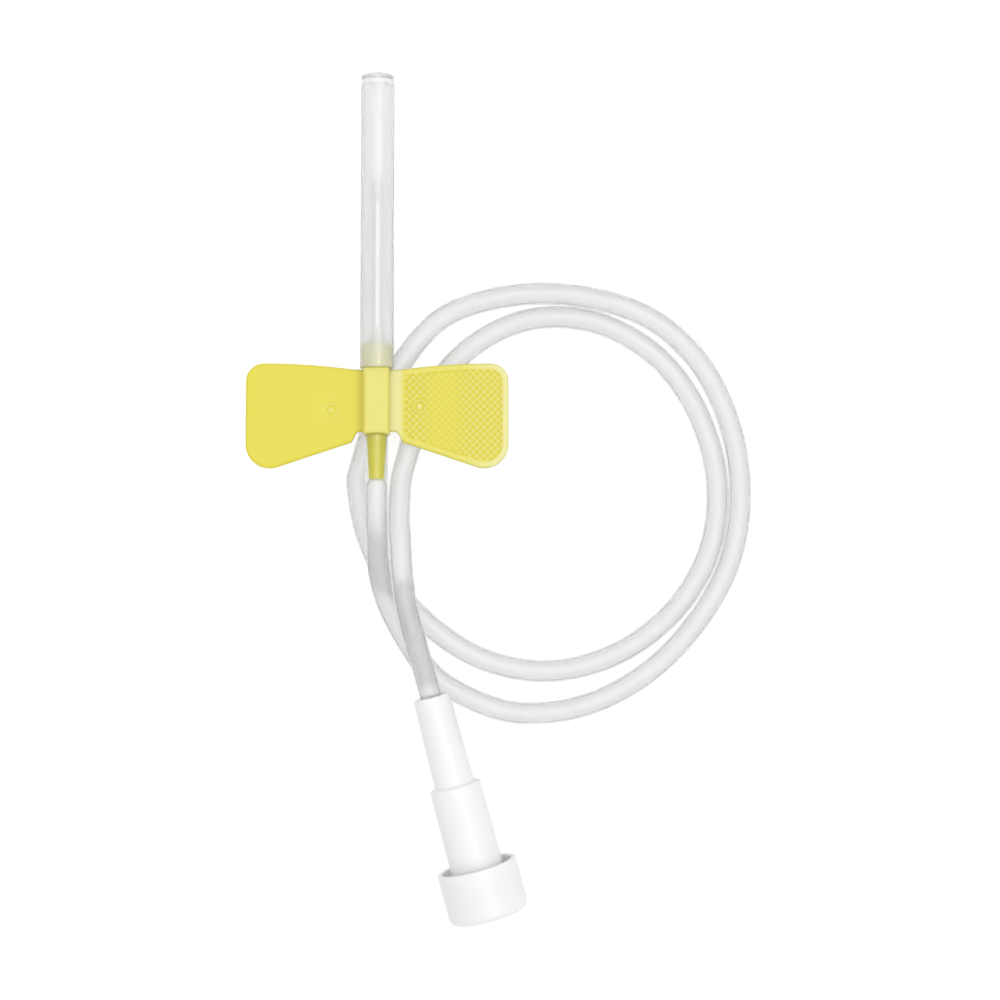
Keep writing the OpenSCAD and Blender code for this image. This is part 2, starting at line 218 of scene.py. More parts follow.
# Height of the tube's middle where it lies on the table
LAID = TUBE_OD / 2
FREE_ROUTE = [
    (0, -25.2, 4.9), (0, -27.4, 4.75), (0.05, -29.7, 4.4), (0.15, -32, 4.05), (0.55, -34.3, 3.75),
    (1.25, -36.6, 3.3), (2.3, -38.9, 2.65), (3.6, -41.3, 1.8), (5.2, -43.6, 1.35),
    (8.4, -46.3, LAID), (15, -48.8, LAID), (22.7, -48.2, LAID), (29.8, -44.7, LAID),
    (35.4, -39.2, LAID), (39.4, -32.2, LAID), (40.7, -24.5, LAID), (39.6, -16.7, LAID),
    (36.1, -9.5, LAID), (30.3, -4.4, LAID), (22.7, -2.05, LAID), (14.8, -2, LAID),
    (7.3, -4.4, LAID), (2.2, -10.1, LAID), (-1.8, -17, LAID), (-2.2, -24.7, LAID),
    (0.1, -32.2, LAID), (5, -38.4, LAID), (11.6, -42.8, LAID), (19.3, -44.2, LAID),
    (26.9, -42.2, LAID), (33.2, -37.45, LAID), (37.2, -30.75, LAID), (38.1, -23, LAID),
    (36, -15.3, LAID), (31.4, -8.9, LAID), (24.5, -5, LAID), (16.8, -4.7, LAID),
    (9.9, -8.2, LAID), (5.1, -14.4, LAID),
    (2.9, -20.9, 1.5), (2.4, -26, 2.65), (2.65, -31, 4), (2.9, -34, 4.75),
    (3.4, -37.1, 5.1), (4.3, -40.6, 4.95), (5.3, -44, 4.6),
]
TUBE_STEP = 0.7
TUBE_SIDES = 56
# The solvent bond closes the bore on the spigot, so the wall reaches this far into it
BOND_BITE = 0.01
# Past the spigot's tip the bore opens again over this length
BORE_OPENING = 0.5
# The tube's cut end over the spigot is broken by this much
END_LIP = 0.08
# In a mesh, in metres: points nearer than this are one, and an edge shorter than this is none
ONE_POINT = 2e-7
NO_EDGE = 1e-7
# Low, so that the matt bore scatters the light and bends it little
BORE_IOR = 1.15


def smooth_line(points, step):
    """Points about a step apart on the smooth curve through the given ones."""
    before = points[0] * 2 - points[1]
    after = points[-1] * 2 - points[-2]
    line = [before] + points + [after]
    found = []
    for i in range(1, len(line) - 2):
        a, b, c, d = line[i - 1:i + 3]
        cuts = max(1, round((c - b).length / step))
        for j in range(cuts):
            t = j / cuts
            found.append(0.5 * (
                2 * b + (c - a) * t
                + (2 * a - 5 * b + 4 * c - d) * t * t
                + (3 * b - a - 3 * c + d) * t ** 3
            ))
    found.append(points[-1])
    return found


def clean_mesh(piece, smooth_below):
    """Joins double points and turns the faces outwards. Edges that turn less than the angle look smooth."""
    work = bmesh.new()
    work.from_mesh(piece.data)
    bmesh.ops.remove_doubles(work, verts=work.verts, dist=ONE_POINT)
    bmesh.ops.dissolve_degenerate(work, edges=work.edges, dist=NO_EDGE)
    bmesh.ops.recalc_face_normals(work, faces=work.faces)
    for face in work.faces:
        face.smooth = True
    for edge in work.edges:
        edge.smooth = edge.calc_face_angle(0) < math.radians(smooth_below)
    work.to_mesh(piece.data)
    work.free()


def skin(name, rings, loop=True, smooth_below=40, second=range(0)):
    """A mesh over rings of points that hold the same count, each closed on itself.
    loop joins the last ring to the first. The spans numbered in second take the second material."""
    count = len(rings[0])
    mesh = bpy.data.meshes.new(name)
    faces = []
    spans = len(rings) if loop else len(rings) - 1
    for i in range(spans):
        here = i * count
        there = ((i + 1) % len(rings)) * count
        for k in range(count):
            beside = (k + 1) % count
            faces.append((here + k, here + beside, there + beside, there + k))
    mesh.from_pydata([point * MM for ring in rings for point in ring], [], faces)
    for face in mesh.polygons:
        face.material_index = 1 if face.index // count in second else 0
    piece = bpy.data.objects.new(name, mesh)
    bpy.context.scene.collection.objects.link(piece)
    clean_mesh(piece, smooth_below)
    return piece


def close_ends(piece):
    """Closes the open first and last ring of a mesh."""
    work = bmesh.new()
    work.from_mesh(piece.data)
    bmesh.ops.holes_fill(work, edges=[edge for edge in work.edges if edge.is_boundary], sides=0)
    bmesh.ops.recalc_face_normals(work, faces=work.faces)
    work.to_mesh(piece.data)
    work.free()


def circle(count):
    """Evenly spaced angles of a full turn."""
    return [2 * math.pi * k / count for k in range(count)]


def ring_round(centre, along, radius, angles):
    """A ring of points about the centre, square to the direction along."""
    side = Vector((0, 0, 1)).cross(along).normalized()
    up = along.cross(side)
    return [centre + (up * math.cos(a) + side * math.sin(a)) * radius for a in angles]


def finish_of(name, colour, roughness, **sockets):
    """A material with the Principled shader, and its nodes for more detail."""
    material = bpy.data.materials.new(name)
    material.use_nodes = True
    nodes, links = material.node_tree.nodes, material.node_tree.links
    shader = nodes["Principled BSDF"]
    shader.inputs["Base Color"].default_value = (*colour, 1)
    shader.inputs["Roughness"].default_value = roughness
    for socket, value in sockets.items():
        shader.inputs[socket.replace("_", " ")].default_value = value
    material.diffuse_color = (*colour, 1)
    return material, nodes, links, shader


def fine_waves(nodes, links, shader, scale, height, detail=2.0, stretch=(1, 1, 1)):
    """Small uneven waves in the surface, scale per metre and height in metres."""
    place = nodes.new("ShaderNodeTexCoord")
    turn = nodes.new("ShaderNodeMapping")
    turn.inputs["Scale"].default_value = stretch
    links.new(place.outputs["Object"], turn.inputs["Vector"])
    noise = nodes.new("ShaderNodeTexNoise")
    noise.inputs["Scale"].default_value = scale
    noise.inputs["Detail"].default_value = detail
    links.new(turn.outputs[0], noise.inputs["Vector"])
    bump = nodes.new("ShaderNodeBump")
    bump.inputs["Distance"].default_value = height
    links.new(noise.outputs["Fac"], bump.inputs["Height"])
    links.new(bump.outputs[0], shader.inputs["Normal"])
    return noise


def colour_drift(nodes, links, shader, noise, low, high):
    """The base colour drifts between two close tones with the same noise."""
    ramp = nodes.new("ShaderNodeMix")
    ramp.data_type = "RGBA"
    ramp.inputs["A"].default_value = (*low, 1)
    ramp.inputs["B"].default_value = (*high, 1)
    links.new(noise.outputs["Fac"], ramp.inputs["Factor"])
    links.new(ramp.outputs["Result"], shader.inputs["Base Color"])


def clear_vinyl():
    material, nodes, links, shader = finish_of(
        "clear_vinyl", colour=(0.99, 0.99, 0.99), roughness=0.24, IOR=1.5, Transmission_Weight=1.0
    )
    fine_waves(nodes, links, shader, scale=900.0, height=0.000002)
    return material


def matt_bore(name, low, high, roughness, transmission):
    """The inside of an extruded tube is matt, which makes the clear wall look pale grey."""
    material, nodes, links, shader = finish_of(
        name, low, roughness, IOR=BORE_IOR, Transmission_Weight=transmission
    )
    noise = fine_waves(nodes, links, shader, scale=700.0, height=0.000004)
    colour_drift(nodes, links, shader, noise, low, high)
    return material


def ease(value, low, high):
    """0 below low, 1 above high, and a smooth rise between."""
    share = min(max((value - low) / (high - low), 0.0), 1.0)
    return share * share * (3 - 2 * share)


def spigot_radius(depth):
    """Radius of the hub's spigot at a depth from its root."""
    share = min(max(depth / SPIGOT_L, 0), 1)
    return (SPIGOT_ROOT_D + (SPIGOT_TIP_D - SPIGOT_ROOT_D) * share) / 2


def make_tube():
    root_y = -BLOCK_L / 2
    route = [at_needle(0, root_y - share * SPIGOT_L, 0) for share in (0, 0.5, 1)]
    route += [Vector(point) for point in FREE_ROUTE]
    route += [at_connector(0, 0, share * SOCKET_L) for share in (0, 0.5, 1)]
    line = smooth_line(route, TUBE_STEP)
    for point in line:
        point.z = max(point.z, LAID)
    # Closer rings show the tube's cut end, the spigot's taper, and the bore that opens past it
    on_spigot = [0, END_LIP, 1, 2, 3, 4, SPIGOT_L]
    past_spigot = [SPIGOT_L + BORE_OPENING / 2, SPIGOT_L + BORE_OPENING]
    near_hub = on_spigot + past_spigot
    free = [point for point in line if (point - line[0]).length > near_hub[-1] + TUBE_STEP / 2]
    spigot_line = [at_needle(0, root_y - depth, 0) for depth in on_spigot]
    tip = spigot_line[-1]
    onward = (free[0] - tip).normalized()
    line = spigot_line + [tip + onward * (depth - SPIGOT_L) for depth in past_spigot] + free
    angles = circle(TUBE_SIDES)
    outer, inner = [], []
    for i, centre in enumerate(line):
        along = (line[min(i + 1, len(line) - 1)] - line[max(i - 1, 0)]).normalized()
        outside = TUBE_OD / 2 - (END_LIP if i == 0 else 0)
        bore = TUBE_BORE / 2
        if i < len(near_hub):
            bonded = spigot_radius(near_hub[i]) - BOND_BITE
            bore = bonded + (bore - bonded) * ease(near_hub[i], SPIGOT_L, SPIGOT_L + BORE_OPENING)
        outer.append(ring_round(centre, along, outside, angles))
        inner.append(ring_round(centre, along, bore, angles))
    tube = skin("tube", outer + inner[::-1], second=range(len(outer), 2 * len(outer) - 1))
    tube.data.materials.append(clear_vinyl())
    tube.data.materials.append(matt_bore(
        "tube_bore", low=(0.965, 0.97, 0.97), high=(0.98, 0.98, 0.98), roughness=0.5, transmission=0.8
    ))
    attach(tube, "hub_and_tube")
    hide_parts("infusion_tube")
    return tube, line


tube, tube_line = make_tube()


# Hub
# A yellow vinyl moulding in one piece with the wings: a nose that the sheath is pushed on,
# a flat-topped block, and a tapered spigot that the tube is pushed over.
# The needle is glued in its bore.
NOSE_D = 2.65
NOSE_L = 2.8
NOSE_CHAMFER = 0.25
NEEDLE_OD = 0.9
NEEDLE_SEAT = 7.5
GLUE_GAP = 0.02
FLOW_D = 0.6
BLOCK_EDGE = 0.42
BLOCK_LIP = 0.1
# The edge's lip has a ring at this share of its width
LIP_MIDDLE = 0.3
# The block's rear face bows out by this much in the middle
REAR_BOW = 0.14
# How pale the block is painted, as painted light on the raised block, how far behind its rear face that
# starts, and over what length it rises
BLOCK_PALENESS = 0.42
PALE_BEHIND = 0.3
PALE_RISE = 0.6
# The nose turns to its full painted paleness, painted light that brightens it inside the milky sheath,
# between these distances from the block
NOSE_PALE_START = 0.1
NOSE_PALE_END = 0.3
CORNER_STEPS = 6
SIDE_STEPS = 8


def block_outline(draw_in):
    """Half section of the block as x and z, rounded along the top and crisp along the bottom."""
    half_w = BLOCK_W / 2 - draw_in
    half_h = BLOCK_H / 2 - draw_in
    corners = [
        (1, 1, BLOCK_EDGE), (-1, 1, BLOCK_EDGE), (-1, -1, BLOCK_LIP), (1, -1, BLOCK_LIP),
    ]
    points = []
    for index, (sx, sz, radius) in enumerate(corners):
        start = index * math.pi / 2
        for step in range(CORNER_STEPS + 1):
            angle = start + step * math.pi / 2 / CORNER_STEPS
            points.append((
                sx * (half_w - radius) + radius * math.cos(angle),
                sz * (half_h - radius) + radius * math.sin(angle),
            ))
        nx, nz, next_radius = corners[(index + 1) % 4]
        ahead = start + math.pi / 2
        goal = (
            nx * (half_w - next_radius) + next_radius * math.cos(ahead),
            nz * (half_h - next_radius) + next_radius * math.sin(ahead),
        )
        last = points[-1]
        for step in range(1, SIDE_STEPS):
            share = step / SIDE_STEPS
            points.append((last[0] + (goal[0] - last[0]) * share, last[1] + (goal[1] - last[1]) * share))
    return points


def yellow_vinyl(name, deep, pale):
    """Soft yellow vinyl, paler where the mesh says so: that paleness is painted light and painted
    highlight.
    """
    material, nodes, links, shader = finish_of(
        name, deep, roughness=0.3, IOR=1.5, Subsurface_Weight=0.2, Subsurface_Scale=0.0005
    )
    shader.inputs["Subsurface Radius"].default_value = (1.0, 0.9, 0.4)
    fine_waves(nodes, links, shader, scale=1400.0, height=0.000008)
    paleness = nodes.new("ShaderNodeAttribute")
    paleness.attribute_name = "pale"
    tone = nodes.new("ShaderNodeMix")
    tone.data_type = "RGBA"
    tone.inputs["A"].default_value = (*deep, 1)
    tone.inputs["B"].default_value = (*pale, 1)
    links.new(paleness.outputs["Fac"], tone.inputs["Factor"])
    links.new(tone.outputs["Result"], shader.inputs["Base Color"])
    return material


def set_painted_light(piece, shares):
    """Writes how much painted light pales the vinyl at each point of the mesh, from 0 to 1."""
    layer = piece.data.attributes.new("pale", "FLOAT", "POINT")
    layer.data.foreach_set("value", shares)


DEEP_YELLOW = (0.735, 0.662, 0.042)
# The pale yellow is painted light and painted highlight, mixed in by the mesh's pale attribute
PAINTED_LIGHT_YELLOW = (0.785, 0.750, 0.330)
# Spigot and nose get a brighter copy of the yellow under tube and sheath: painted light that makes up for
# the light these take away
COVERED_YELLOW_PAINTED_BRIGHTER = (0.93, 0.86, 0.075)
COVERED_PALE_YELLOW_PAINTED_LIGHT = (0.95, 0.925, 0.44)
yellow = yellow_vinyl("yellow_vinyl", DEEP_YELLOW, PAINTED_LIGHT_YELLOW)
covered_yellow_painted_brighter = yellow_vinyl("covered_yellow_vinyl", COVERED_YELLOW_PAINTED_BRIGHTER, COVERED_PALE_YELLOW_PAINTED_LIGHT)


def make_hub():
    plan = block_outline(0)
    angles = [math.atan2(z, x) for x, z in plan]

    def disc(y, radius):
        return [at_needle(radius * math.cos(a), y, radius * math.sin(a)) for a in angles]

    def section(y, draw_in, bow=0.0):
        return [
            at_needle(x, y + bow * (1 - (x / (BLOCK_W / 2)) ** 2), z) for x, z in block_outline(draw_in)
        ]

    front, rear = BLOCK_L / 2, -BLOCK_L / 2
    spigot_back = at_needle(0, rear, 0).y - PALE_BEHIND
    heel = front + NOSE_L - NEEDLE_SEAT
    hole = NEEDLE_OD / 2 + GLUE_GAP
    lip = BLOCK_LIP
    rings = [disc(rear - SPIGOT_L, FLOW_D / 2)]
    rings += [disc(rear - SPIGOT_L, SPIGOT_TIP_D / 2 - lip)]
    rings += [disc(rear - SPIGOT_L + lip, SPIGOT_TIP_D / 2)]
    rings += [disc(rear - depth, spigot_radius(depth)) for depth in (4, 3, 2, 1, 0)]
    covered = list(range(1, len(rings) - 1))
    rings += [section(rear, lip, REAR_BOW), section(rear + lip * LIP_MIDDLE, lip * LIP_MIDDLE, REAR_BOW)]
    rings += [section(rear + lip, 0, REAR_BOW)]
    rings += [section(rear + BLOCK_L * share, 0) for share in (0.1, 0.3, 0.5, 0.7, 0.9)]
    rings += [section(front - lip, 0), section(front - lip * LIP_MIDDLE, lip * LIP_MIDDLE)]
    rings += [section(front, lip)]
    nose_root = len(rings)
    rings += [disc(front, NOSE_D / 2), disc(front + NOSE_L - NOSE_CHAMFER, NOSE_D / 2)]
    rings += [disc(front + NOSE_L, NOSE_D / 2 - NOSE_CHAMFER), disc(front + NOSE_L, hole)]
    covered += list(range(nose_root, len(rings) - 1))
    rings += [disc(heel, hole), disc(heel, FLOW_D / 2)]
    hub = skin("hub_moulding", rings, second=covered)
    hub.data.materials.append(yellow)
    # The covered spans take the brighter yellow copy, which is painted light
    hub.data.materials.append(covered_yellow_painted_brighter)
    # Painted light: the raised block and the nose in its milky sheath are painted pale, the spigot in the
    # tube stays deep
    nose_start = at_needle(0, front, 0).y
    set_painted_light(hub, [
        BLOCK_PALENESS * ease(point.co.y / MM, spigot_back, spigot_back + PALE_RISE)
        + (1 - BLOCK_PALENESS)
        * ease(point.co.y / MM, nose_start + NOSE_PALE_START, nose_start + NOSE_PALE_END)
        for point in hub.data.vertices
    ])
    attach(hub, "hub_and_tube")
    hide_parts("hub")


make_hub()


# Wings
# Two thin flaps of the same vinyl moulding, which fold up at a thin strip beside the block so that
# finger and thumb can hold the set. The right one has a diamond gripping field inside a smooth rim.
WING_REACH = 14.65
WING_FRONT = 4.4
WING_REAR = 7.35
FRONT_CORNER = 2.0
REAR_CORNER = 2.7
REAR_SWEEP = 18.5
FOLD_GAP = 0.25
ROOT_W = 0.9
ROOT_T = 0.5
ROOT_INSET = 0.4
RIM_W = 0.75
FIELD_DEPTH = 0.15
EDGE_ROUND = 0.28
LEFT_MARK = (5.15, -0.85)
RIGHT_MARK = (4.7, -0.45)
MARK_RISE = 0.2
MARK_DOT_R = 0.36
MARK_RING_R = 0.70
MARK_RING_W = 0.2
# The flank of the mark's dome starts inside its radius and ends outside it by these
DOME_FLANK_IN = 0.14
DOME_FLANK_OUT = 0.1
# How high the mark's ring is beside its dome, how high the left mark is beside the right one,
# and how many ring widths the left mark fades over
RING_SHARE = 0.8
LEFT_MARK_SHARE = 0.5
LEFT_MARK_FADE = 1.5
DIAMOND_PITCH = 0.56
RIDGE_CREST = 0.02
RIDGE_W = 0.2
RIDGE_RISE = 0.13
# The rim drops to the field between these distances past its inner edge
FIELD_FLANK = (-0.06, 0.1)
# No ridge stands within this distance of the mark's ring, and all of it does from the second on
BARE_ROUND_MARK = (0.1, 0.35)
# The ridges are worn by a half in the middle of the right wing, between these places along it
WORN_FROM = (5.0, 6.4)
WORN_TO = (8.2, 10.4)
WORN_SHARE = 0.5
# On the left wing they come up over this distance round the mark, and fade out again
FAINT_RISE = 0.03
FAINT_START = 0.3
FAINT_FADE = 1.2
FAINT_REACH = 2.6
# The underside steps up to the thin root strip between these distances before and past the plate's root
STRIP_STEP_IN = 0.12
STRIP_STEP_OUT = 0.05
# The strip's painted light fades out between these distances before and past the plate's root
STRIP_PALE_IN = 0.1
STRIP_PALE_OUT = 0.5
# The rim's painted light, where light shines through the thin vinyl, fades out over these shares of its
# width, and grows towards the wing's tip
RIM_FADE = (0.6, 1.2)
RIM_PALENESS = 0.25
TIP_PALENESS = 0.7
TIP_PALE_START = 9.0
TIP_PALE_END = WING_REACH - 0.8
# How pale the painted highlights make the ridges, their crossings and the marks, and how much painted light
# lifts the field
RIDGE_PALENESS = 0.22
CROSSING_PALENESS = 0.38
RIGHT_MARK_PALENESS = 0.65
FIELD_PALENESS = 0.05
LEFT_MARK_PALENESS = 0.35
FAINT_PALENESS = 0.3
# Each wing reaches this far into the block
INTO_BLOCK = 0.12
# Least count of columns round the rear corner
CORNER_COLUMNS = 24
# The rear edge leaves the root strip's end this share of the strip past the fold, and is on its
# straight sweep as far past the plate's root
STEP_SHARE = 0.4
# The gripping field starts this share of the rim past the plate's root
FIELD_SHARE = 0.6

fold_x = BLOCK_W / 2 + FOLD_GAP
plate_x = fold_x + ROOT_W
root_front = BLOCK_L / 2
root_rear = ROOT_INSET - BLOCK_L / 2
wing_bottom = -BLOCK_H / 2
wing_top = wing_bottom + WING_T
front_centre = (WING_REACH - FRONT_CORNER, WING_FRONT - FRONT_CORNER)
rear_centre = (WING_REACH - REAR_CORNER, REAR_CORNER - WING_REAR)
step_start = fold_x + ROOT_W * STEP_SHARE
step_end = plate_x + ROOT_W * STEP_SHARE
field_start = plate_x + RIM_W * FIELD_SHARE


def front_edge(x):
    """Where the wing's front edge lies: a slight flare from the block, then the front corner."""
    if x > front_centre[0]:
        over = min(x - front_centre[0], FRONT_CORNER)
        return front_centre[1] + math.sqrt(max(FRONT_CORNER ** 2 - over ** 2, 0))
    left = min((front_centre[0] - x) / (front_centre[0] - plate_x), 1.0)
    return WING_FRONT - (WING_FRONT - root_front) * left * left


def rear_edge(x):
    """Where its rear edge lies: the root strip's end, a straight sweep, then the rear corner."""
    sweep = math.radians(REAR_SWEEP)
    touch_x = rear_centre[0] - REAR_CORNER * math.sin(sweep)
    touch_y = rear_centre[1] - REAR_CORNER * math.cos(sweep)
    if x > touch_x:
        over = min(x - rear_centre[0], REAR_CORNER)
        return rear_centre[1] - math.sqrt(max(REAR_CORNER ** 2 - over ** 2, 0))
    swept = touch_y + (touch_x - x) * math.tan(sweep)
    return root_rear + (swept - root_rear) * ease(x, step_start, step_end)


def edge_distance(x, y, low, high):
    """About how far a point lies inside the wing's outline."""
    near = min((high - y), (y - low) * math.cos(math.radians(REAR_SWEEP)), WING_REACH - x)
    if x > front_centre[0] and y > front_centre[1]:
        near = FRONT_CORNER - math.hypot(x - front_centre[0], y - front_centre[1])
    if x > rear_centre[0] and y < rear_centre[1]:
        near = REAR_CORNER - math.hypot(x - rear_centre[0], y - rear_centre[1])
    return max(near, 0.0)


def rounded_drop(near):
    """How far a rounded edge has dropped, near being the distance inside the outline."""
    if near >= EDGE_ROUND:
        return 0.0
    return EDGE_ROUND - math.sqrt(EDGE_ROUND ** 2 - (EDGE_ROUND - near) ** 2)


def two_ridges(x, y):
    """How near a point is to a ridge of each direction, from 0 between them to 1 on the crest."""
    near = []
    for across in ((x + y) / math.sqrt(2), (x - y) / math.sqrt(2)):
        off = abs(across % DIAMOND_PITCH - DIAMOND_PITCH / 2)
        near.append(1 - ease(off, RIDGE_CREST, RIDGE_W))
    return near


def ridges(x, y):
    """Height of the crossed ridges, from 0 in the diamonds between them to 1 on a ridge's crest."""
    return max(two_ridges(x, y))


def crossings(x, y):
    """1 where two ridges cross, and 0 elsewhere."""
    one, other = two_ridges(x, y)
    return one * other


def mark_height(away):
    """The round mark: a low dome with a ring about it, 1 at the top, at a distance from its middle."""
    dome = 1 - ease(away, MARK_DOT_R - DOME_FLANK_IN, MARK_DOT_R + DOME_FLANK_OUT)
    ring = 1 - ease(abs(away - MARK_RING_R), 0.0, MARK_RING_W)
    return max(dome, RING_SHARE * ring)


def in_field(x, near):
    """1 in the right wing's sunk field, 0 on the rim about it, and between them on the flank."""
    return ease(min(near - RIM_W, x - field_start), *FIELD_FLANK)


def grip(x, y, near):
    """How strongly the crossed ridges stand up in the right wing's field: most at its two ends."""
    away = math.dist((x, y), RIGHT_MARK)
    clear = ease(away, MARK_RING_R + BARE_ROUND_MARK[0], MARK_RING_R + BARE_ROUND_MARK[1])
    worn = ease(x, *WORN_FROM) * (1 - ease(x, *WORN_TO))
    return in_field(x, near) * clear * (1 - WORN_SHARE * worn)


def gripping_top(x, y, near):
    """Top of the right wing: rim, sunk field with crossed ridges, raised mark in a bare circle."""
    mark = MARK_RISE * mark_height(math.dist((x, y), RIGHT_MARK))
    raised = RIDGE_RISE * grip(x, y, near) * ridges(x, y)
    return wing_top - rounded_drop(near) - in_field(x, near) * FIELD_DEPTH + raised + mark


def faint_grip(x, y):
    """On the left wing the ridges hardly show, and only round the mark."""
    away = math.dist((x, y), LEFT_MARK)
    starts = ease(away, MARK_RING_R, MARK_RING_R + FAINT_START)
    return crossings(x, y) * starts * (1 - ease(away, FAINT_FADE, FAINT_REACH))


def smooth_top(x, y, near):
    """Top of the left wing: smooth, with the round mark and the faint ridges sunk in it."""
    away = math.dist((x, y), LEFT_MARK)
    mark = MARK_RISE * LEFT_MARK_SHARE * (1 - mark_height(away))
    mark *= 1 - ease(away, MARK_RING_R, MARK_RING_R + MARK_RING_W * LEFT_MARK_FADE)
    return wing_top - rounded_drop(near) - mark - FAINT_RISE * faint_grip(x, y)


def wing_under(x, near):
    """Underside: flush with the block, and cut away under the thin root strip."""
    strip = 1 - ease(x, plate_x - STRIP_STEP_IN, plate_x + STRIP_STEP_OUT)
    return wing_bottom + rounded_drop(near) + strip * (WING_T - ROOT_T)


def right_painted_light(x, y, near):
    """The right wing's painted light: palest on its root strip, along the rim, and in painted highlights on
    the ridges and the mark.
    """
    strip = 1 - ease(x, plate_x - STRIP_PALE_IN, plate_x + STRIP_PALE_OUT)
    tip = ease(x, TIP_PALE_START, TIP_PALE_END)
    rim = 1 - ease(near, RIM_W * RIM_FADE[0], RIM_W * RIM_FADE[1])
    rim *= RIM_PALENESS + TIP_PALENESS * tip
    crossed = RIDGE_PALENESS * ridges(x, y) + CROSSING_PALENESS * crossings(x, y)
    # Painted highlights on the ridge crests and the mark, and painted light on the field
    painted_highlight = grip(x, y, near) ** 2 * crossed
    painted_highlight += RIGHT_MARK_PALENESS * mark_height(math.dist((x, y), RIGHT_MARK))
    return min(max(strip, rim, painted_highlight + FIELD_PALENESS), 1.0)


def left_painted_highlight(x, y, near):
    """The left wing has a little painted highlight on its mark and on the faint ridges."""
    mark = LEFT_MARK_PALENESS * mark_height(math.dist((x, y), LEFT_MARK))
    return mark + FAINT_PALENESS * faint_grip(x, y)


def chord_shares(count):
    """Shares of the chord from 0 to 1, close together at both ends where the edges are rounded."""
    close = [0, 0.003, 0.008, 0.014, 0.02, 0.027]
    first = close[-1]
    middle = [first + (1 - 2 * first) * i / count for i in range(1, count)]
    return close + middle + [1 - share for share in close[::-1]]


def make_wing(name, side, top, paleness, columns, rows):
    """side is -1 for the left wing and 1 for the right. top and paleness are the wing's own functions."""
    shares = chord_shares(rows)
    start = BLOCK_W / 2 - INTO_BLOCK
    bend_start = rear_centre[0]
    stations = [start + (bend_start - start) * i / columns for i in range(columns)]
    turn_steps = max(CORNER_COLUMNS, columns // 4)
    stations += [
        bend_start + REAR_CORNER * math.sin(math.pi / 2 * i / turn_steps)
        for i in range(turn_steps + 1)
    ]
    points, pale = [], []
    for x in stations:
        low, high = rear_edge(x), front_edge(x)
        over, under, tones = [], [], []
        for share in shares:
            y = low + (high - low) * share
            near = edge_distance(x, y, low, high)
            over.append(at_needle(side * x, y, top(x, y, near)))
            under.append(at_needle(side * x, y, wing_under(x, near)))
            tones.append(paleness(x, y, near))
        points += over + under[::-1]
        pale += tones + tones[::-1]
    count = 2 * len(shares)
    faces = []
    for i in range(len(stations) - 1):
        here = i * count
        faces += [
            (here + k, here + (k + 1) % count, here + count + (k + 1) % count, here + count + k)
            for k in range(count)
        ]
    faces.append(tuple(range(count))[::-1])
    last = (len(stations) - 1) * count
    faces.append(tuple(range(last, last + count)))
    mesh = bpy.data.meshes.new(f"{name}_moulding")
    mesh.from_pydata([point * MM for point in points], [], faces)
    wing = bpy.data.objects.new(f"{name}_moulding", mesh)
    bpy.context.scene.collection.objects.link(wing)
    set_painted_light(wing, pale)
    clean_mesh(wing, smooth_below=50)
    mesh.materials.append(yellow)
    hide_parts(name)
    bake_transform(wing)


make_wing("left_wing", -1, smooth_top, left_painted_highlight, columns=130, rows=110)
make_wing("right_wing", 1, gripping_top, right_painted_light, columns=170, rows=140)


# Needle
# A thin-walled tube of ground stainless steel, 20 gauge, with a lancet point whose bevel faces up.
# It is glued in the hub's bore, and the flow passage starts at its heel.
NEEDLE_WALL = 0.15
NEEDLE_EXPOSED = 19.0
BEVEL_ANGLE = 17.0
SIDE_GRIND_ANGLE = 25.0
# The last whole ring lies this far behind the bevel
RING_BEHIND_BEVEL = 0.2
NEEDLE_SIDES = 48


def ground_steel():
    material, nodes, links, shader = finish_of(
        "ground_steel", colour=(0.78, 0.79, 0.80), roughness=0.2, Metallic=1.0
    )
    fine_waves(nodes, links, shader, scale=9000.0, height=0.000002, stretch=(1, 0.02, 1))
    return material


def bevel_y(x, z, tip):
    """Where the grinding wheel leaves a point of the tube: one long face, then two at the sides."""
    long_face = tip - (z + NEEDLE_OD / 2) / math.tan(math.radians(BEVEL_ANGLE))
    side_face = tip - abs(x) / math.tan(math.radians(SIDE_GRIND_ANGLE))
    return min(long_face, side_face)


def make_needle():
    tip = BLOCK_L / 2 + NOSE_L + NEEDLE_EXPOSED
    heel = BLOCK_L / 2 + NOSE_L - NEEDLE_SEAT
    angles = circle(NEEDLE_SIDES)
    bore = NEEDLE_OD / 2 - NEEDLE_WALL
    shaft_end = tip - NEEDLE_OD / math.tan(math.radians(BEVEL_ANGLE)) - RING_BEHIND_BEVEL

    def ring(radius, y):
        return [at_needle(radius * math.sin(a), y, radius * math.cos(a)) for a in angles]

    def cut_ring(radius):
        ends = [(radius * math.sin(a), radius * math.cos(a)) for a in angles]
        return [at_needle(x, bevel_y(x, z, tip), z) for x, z in ends]

    outer = [ring(NEEDLE_OD / 2, heel), ring(NEEDLE_OD / 2, shaft_end), cut_ring(NEEDLE_OD / 2)]
    inner = [cut_ring(bore), ring(bore, shaft_end), ring(bore, heel)]
    needle = skin("needle_tube", outer + inner, smooth_below=20)
    needle.data.materials.append(ground_steel())
    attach(needle, "hub_and_tube")
    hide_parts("needle")


make_needle()


# Glue cone
# White epoxy that has wetted the needle where it leaves the nose, and set with a hollow flank.
BOND_L = 1.8
BOND_D = 1.6
BOND_TIP_T = 0.04
BOND_WAIST_T = 0.12
BOND_WAIST = 0.45
BOND_STEPS = 12
LATHE_SIDES = 72


